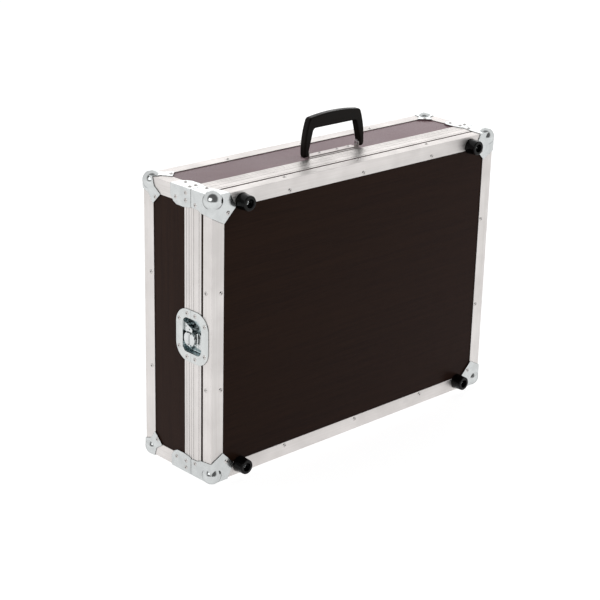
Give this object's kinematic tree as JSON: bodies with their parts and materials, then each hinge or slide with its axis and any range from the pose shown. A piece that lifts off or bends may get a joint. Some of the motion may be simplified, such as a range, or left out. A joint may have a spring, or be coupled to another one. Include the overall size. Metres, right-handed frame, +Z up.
{
  "type": "flight case",
  "caption": "Plywood flight case for guitar pedals: base tray on rubber feet, lift-off lid, aluminium edges, recessed butterfly latches and a folding handle.",
  "frame": {"origin": "bottom centre of the whole object's box, between the ball corners it stands on", "axes": "+X along the long edge, +Y from the feet side of the base tray to the back of the lid, +Z up with the handle on top"},
  "size_m": [0.815, 0.2364, 0.6858],
  "materials": {
    "phenolic_plywood": "dark brown phenolic film on plywood, fine grain, half gloss",
    "aluminium": "bare extruded aluminium with long brushing",
    "zinc_plated_steel": "bright zinc plating on pressed steel",
    "bright_zinc": "bright zinc plating, slightly blue",
    "rivet_aluminium": "blind rivet heads, satin",
    "black_rubber": "moulded black rubber, satin",
    "black_plastic": "moulded black plastic, fine texture",
    "loop_carpet": "black hook-and-loop carpet",
    "foam": "dark grey closed-cell foam"
  },
  "bodies": {
    "base": {"base_edge_angle_top": "aluminium", "base_rim_top": "aluminium", "base_wall_top": "phenolic_plywood", "base_edge_angle_bottom": "aluminium", "base_rim_bottom": "aluminium", "base_wall_bottom": "phenolic_plywood", "base_edge_angle_left": "aluminium", "base_rim_left": "aluminium", "base_wall_left": "phenolic_plywood", "base_edge_angle_right": "aluminium", "base_rim_right": "aluminium", "base_wall_right": "phenolic_plywood", "base_floor_panel": "phenolic_plywood", "base_ball_corners": "zinc_plated_steel", "base_rivets": "rivet_aluminium", "base_carpet": "loop_carpet", "rubber_feet": "black_rubber", "foot_screws": "zinc_plated_steel", "foot_tee_nuts": "zinc_plated_steel", "keeper_dish_left": "bright_zinc", "keeper_dish_right": "bright_zinc"},
    "lid": {"lid_rim_top": "aluminium", "lid_edge_angle_top": "aluminium", "lid_wall_top": "phenolic_plywood", "lid_rim_bottom": "aluminium", "lid_edge_angle_bottom": "aluminium", "lid_wall_bottom": "phenolic_plywood", "lid_rim_left": "aluminium", "lid_edge_angle_left": "aluminium", "lid_wall_left": "phenolic_plywood", "lid_rim_right": "aluminium", "lid_edge_angle_right": "aluminium", "lid_wall_right": "phenolic_plywood", "lid_back_panel": "phenolic_plywood", "lid_corner_angles": "aluminium", "lid_ball_corners": "zinc_plated_steel", "lid_corner_braces": "zinc_plated_steel", "lid_rivets": "rivet_aluminium", "lid_foam_pad": "foam", "handle_bracket": "zinc_plated_steel", "handle_pivot_pins": "zinc_plated_steel", "latch_dish_left": "bright_zinc", "latch_dish_right": "bright_zinc", "latch_cover_left": "bright_zinc", "latch_cover_right": "bright_zinc"},
    "handle": {"handle_grip": "black_plastic"},
    "latch_hub_left": {"latch_hub_left": "bright_zinc", "hub_retainer_left": "zinc_plated_steel", "wing_pins_left": "zinc_plated_steel"},
    "wing_rear_left": {"wing_rear_left": "bright_zinc"},
    "wing_front_left": {"wing_front_left": "bright_zinc"},
    "latch_draw_left": {"draw_plate_left": "bright_zinc"},
    "latch_hook_left": {"draw_hook_left": "bright_zinc"},
    "latch_hub_right": {"latch_hub_right": "bright_zinc", "hub_retainer_right": "zinc_plated_steel", "wing_pins_right": "zinc_plated_steel"},
    "wing_rear_right": {"wing_rear_right": "bright_zinc"},
    "wing_front_right": {"wing_front_right": "bright_zinc"},
    "latch_draw_right": {"draw_plate_right": "bright_zinc"},
    "latch_hook_right": {"draw_hook_right": "bright_zinc"}
  },
  "joints": [
    {"name": "lid_lift", "type": "slide", "parent": "base", "child": "lid", "axis": [0, 1, 0], "range_m": [0, 0.2]},
    {"name": "handle_fold", "type": "hinge", "parent": "lid", "child": "handle", "pos_m": [0, -0.00225, 0.6073], "axis": [1, 0, 0], "range_deg": [-90, 90]},
    {"name": "latch_turn_left", "type": "hinge", "parent": "lid", "child": "latch_hub_left", "pos_m": [-0.394, -0.02575, 0.2935], "axis": [1, 0, 0], "range_deg": [0, 180]},
    {"name": "wing_flip_left", "type": "hinge", "parent": "latch_hub_left", "child": "wing_rear_left", "pos_m": [-0.3982, -0.02275, 0.2935], "axis": [0, 0, 1], "range_deg": [0, 90]},
    {"name": "wing_front_flip_left", "type": "hinge", "parent": "latch_hub_left", "child": "wing_front_left", "pos_m": [-0.3982, -0.02875, 0.2935], "axis": [0, 0, -1], "range_deg": [0, 90]},
    {"name": "draw_slide_left", "type": "slide", "parent": "lid", "child": "latch_draw_left", "axis": [0, 1, 0], "range_m": [0, 0.004]},
    {"name": "hook_drop_left", "type": "hinge", "parent": "latch_draw_left", "child": "latch_hook_left", "pos_m": [-0.3911, -0.04225, 0.2935], "axis": [0, 0, 1], "range_deg": [0, 12]},
    {"name": "latch_turn_right", "type": "hinge", "parent": "lid", "child": "latch_hub_right", "pos_m": [0.394, -0.02575, 0.2935], "axis": [-1, 0, 0], "range_deg": [0, 180]},
    {"name": "wing_flip_right", "type": "hinge", "parent": "latch_hub_right", "child": "wing_rear_right", "pos_m": [0.3982, -0.02275, 0.2935], "axis": [0, 0, -1], "range_deg": [0, 90]},
    {"name": "wing_front_flip_right", "type": "hinge", "parent": "latch_hub_right", "child": "wing_front_right", "pos_m": [0.3982, -0.02875, 0.2935], "axis": [0, 0, 1], "range_deg": [0, 90]},
    {"name": "draw_slide_right", "type": "slide", "parent": "lid", "child": "latch_draw_right", "axis": [0, 1, 0], "range_m": [0, 0.004]},
    {"name": "hook_drop_right", "type": "hinge", "parent": "latch_draw_right", "child": "latch_hook_right", "pos_m": [0.3911, -0.04225, 0.2935], "axis": [0, 0, -1], "range_deg": [0, 12]}
  ],
  "couplings": [
    {"joint": "wing_front_flip_left", "follows": "wing_flip_left", "ratio": 1},
    {"joint": "draw_slide_left", "follows": "latch_turn_left", "m_per_rad": 0.0012732},
    {"joint": "hook_drop_left", "follows": "latch_turn_left", "ratio": 0.06666},
    {"joint": "wing_front_flip_right", "follows": "wing_flip_right", "ratio": 1},
    {"joint": "draw_slide_right", "follows": "latch_turn_right", "m_per_rad": 0.0012732},
    {"joint": "hook_drop_right", "follows": "latch_turn_right", "ratio": 0.06666}
  ]
}
